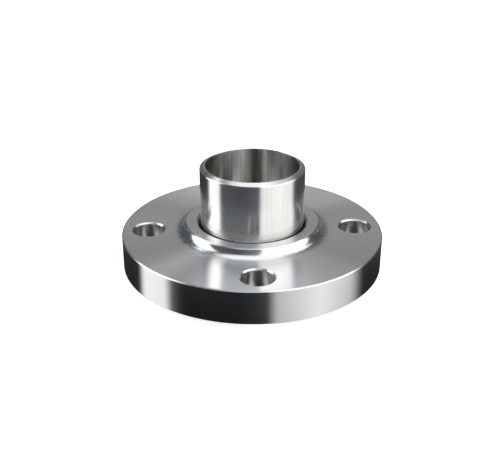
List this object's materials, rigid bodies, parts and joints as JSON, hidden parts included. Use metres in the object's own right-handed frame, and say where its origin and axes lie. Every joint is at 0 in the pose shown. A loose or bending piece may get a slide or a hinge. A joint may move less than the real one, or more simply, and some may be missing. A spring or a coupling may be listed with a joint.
{
  "type": "lap joint flange with stub end",
  "caption": "Loose backing ring with a short hub and bolt holes, turning freely on a flared stub end whose lap carries the gasket face and whose neck is bevelled for welding to pipe.",
  "frame": {"origin": "centre of the lap's gasket face, the lowest plane of the part", "axes": "+Z along the pipe axis from the gasket face to the weld end; a bolt hole of the ring lies on +X, the next on +Y"},
  "size_m": [0.1514, 0.1514, 0.0635],
  "materials": {
    "stub_steel": "machined stainless steel, fine turned, bright",
    "flange_steel": "machined stainless steel, turned satin face, smooth rim"
  },
  "bodies": {
    "stub_end": {"stub_end": "stub_steel"},
    "backing_flange": {"lap_joint_flange": "flange_steel"}
  },
  "joints": [
    {"name": "flange_swivel", "type": "hinge", "parent": "stub_end", "child": "backing_flange", "pos_m": [0, 0, 0.0048], "axis": [0, 0, 1], "continuous": true}
  ]
}
